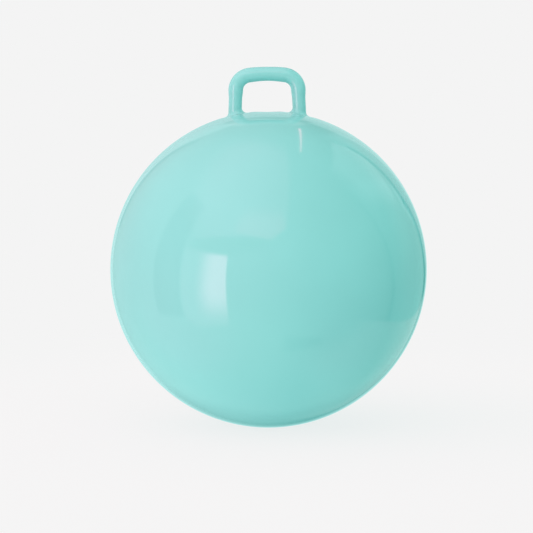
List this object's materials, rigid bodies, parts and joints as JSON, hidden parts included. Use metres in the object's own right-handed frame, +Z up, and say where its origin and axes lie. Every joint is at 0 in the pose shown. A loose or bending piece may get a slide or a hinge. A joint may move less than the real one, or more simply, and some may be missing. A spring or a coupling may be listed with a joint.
{
  "type": "hopper ball",
  "caption": "Soft inflatable ball to sit and bounce on, with a closed loop handle on top, a flat resting patch below and a push-in air plug at the back.",
  "frame": {"origin": "centre of the flat patch on which the ball rests", "axes": "+Z up through the middle of the handle's loop, X along the handle's grip, -Y the front as pictured, +Y the back, where the valve is"},
  "size_m": [0.4504, 0.45, 0.511],
  "materials": {
    "ball_vinyl": "gloss",
    "handle_vinyl": "gloss",
    "seat_vinyl": "satin",
    "plug_plastic": "satin"
  },
  "bodies": {
    "ball": {"ball_skin": "ball_vinyl", "handle": "handle_vinyl", "valve_seat": "seat_vinyl"},
    "plug": {"valve_plug": "plug_plastic"}
  },
  "joints": [
    {"name": "plug_pull", "type": "slide", "parent": "ball", "child": "plug", "axis": [0, 0.6157, 0.788], "range_m": [0, 0.03]}
  ]
}
